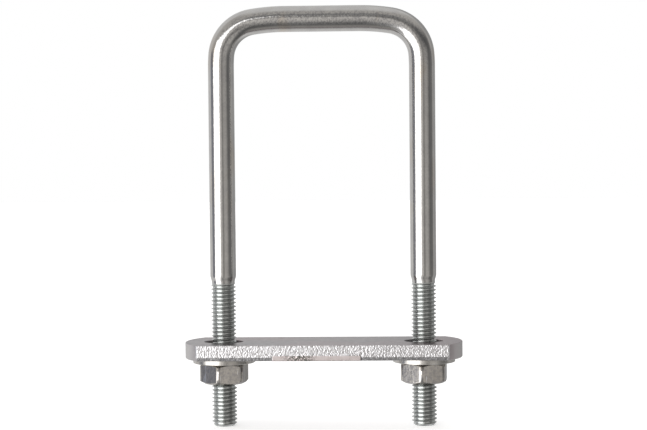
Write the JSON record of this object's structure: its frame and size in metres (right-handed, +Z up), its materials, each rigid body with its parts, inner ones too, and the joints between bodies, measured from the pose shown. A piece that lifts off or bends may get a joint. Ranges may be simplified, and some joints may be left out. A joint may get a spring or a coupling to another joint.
{
  "type": "square u-bolt clamp",
  "caption": "Square-bend U-bolt with threaded legs, a slotted clamp plate, flat washers and hex nuts, for clamping a bracket to a beam.",
  "frame": {"origin": "centre of the plate's clamp face, midway between the two legs", "axes": "+Z up the legs to the top bar, +X along the plate from leg to leg, +Y across the plate's width"},
  "size_m": [0.1068, 0.03, 0.1612],
  "materials": {
    "bright_zinc_bar": "bright zinc plating over drawn bar, faintly mottled, semi-gloss",
    "zinc_plate": "dull zinc plating over rolled flat, matte, with rough sheared long edges",
    "zinc_washer": "bright zinc plating over blanked steel, satin",
    "zinc_nut": "bright zinc plating over cold-formed steel, glossy flats"
  },
  "bodies": {
    "u_bolt": {"u_bolt": "bright_zinc_bar"},
    "left_washer": {"left_washer": "zinc_washer"},
    "left_nut": {"left_nut": "zinc_nut"},
    "clamp_plate": {"clamp_plate": "zinc_plate"},
    "right_washer": {"right_washer": "zinc_washer"},
    "right_nut": {"right_nut": "zinc_nut"}
  },
  "joints": [
    {"name": "left_washer_travel", "type": "slide", "parent": "u_bolt", "child": "left_washer", "axis": [0, 0, 1], "range_m": [-0.015, 0.0285]},
    {"name": "left_nut_turn", "type": "hinge", "parent": "left_washer", "child": "left_nut", "pos_m": [-0.0385, 0, -0.012], "axis": [0, 0, 1], "range_deg": [-3600, 6840]},
    {"name": "plate_lift", "type": "slide", "parent": "left_washer", "child": "clamp_plate", "axis": [0, 0, 1], "range_m": [0, 0.065]},
    {"name": "right_washer_travel", "type": "slide", "parent": "u_bolt", "child": "right_washer", "axis": [0, 0, 1], "range_m": [-0.015, 0.0285]},
    {"name": "right_nut_turn", "type": "hinge", "parent": "right_washer", "child": "right_nut", "pos_m": [0.0385, 0, -0.012], "axis": [0, 0, 1], "range_deg": [-3600, 6840]}
  ],
  "couplings": [
    {"joint": "left_nut_turn", "follows": "left_washer_travel", "rad_per_m": 4188.8},
    {"joint": "right_washer_travel", "follows": "left_washer_travel", "ratio": 1},
    {"joint": "right_nut_turn", "follows": "left_washer_travel", "rad_per_m": 4188.8}
  ]
}
